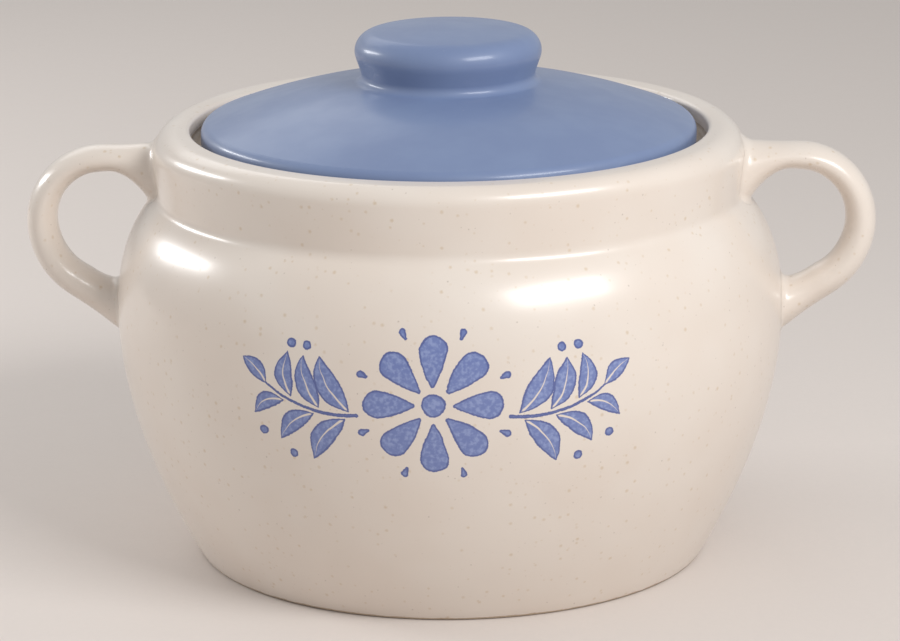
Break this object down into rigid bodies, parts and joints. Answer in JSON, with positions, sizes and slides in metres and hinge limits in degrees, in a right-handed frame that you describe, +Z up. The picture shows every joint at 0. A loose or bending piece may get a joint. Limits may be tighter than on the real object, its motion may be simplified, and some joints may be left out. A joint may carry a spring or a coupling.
{
  "type": "lidded pot",
  "caption": "Round-bellied stoneware bean pot with an upright collar, loop side handles and a lift-off domed lid with a disc knob, for baking and serving.",
  "frame": {"origin": "middle of the foot ring, on the surface that the pot stands on", "axes": "+Z up out of the mouth, +X along the handles towards handle_right, +Y towards the back"},
  "size_m": [0.2514, 0.197, 0.1569],
  "materials": {
    "speckled_cream_glaze": "satin cream glaze with fine tan iron speckles",
    "satin_blue_glaze": "satin slate blue glaze"
  },
  "bodies": {
    "pot": {"pot_body": "speckled_cream_glaze", "handle_left": "speckled_cream_glaze", "handle_right": "speckled_cream_glaze"},
    "lid": {"lid": "satin_blue_glaze", "lid_knob": "satin_blue_glaze"}
  },
  "joints": [
    {"name": "lid_lift", "type": "slide", "parent": "pot", "child": "lid", "axis": [0, 0, 1], "range_m": [0, 0.16]}
  ]
}
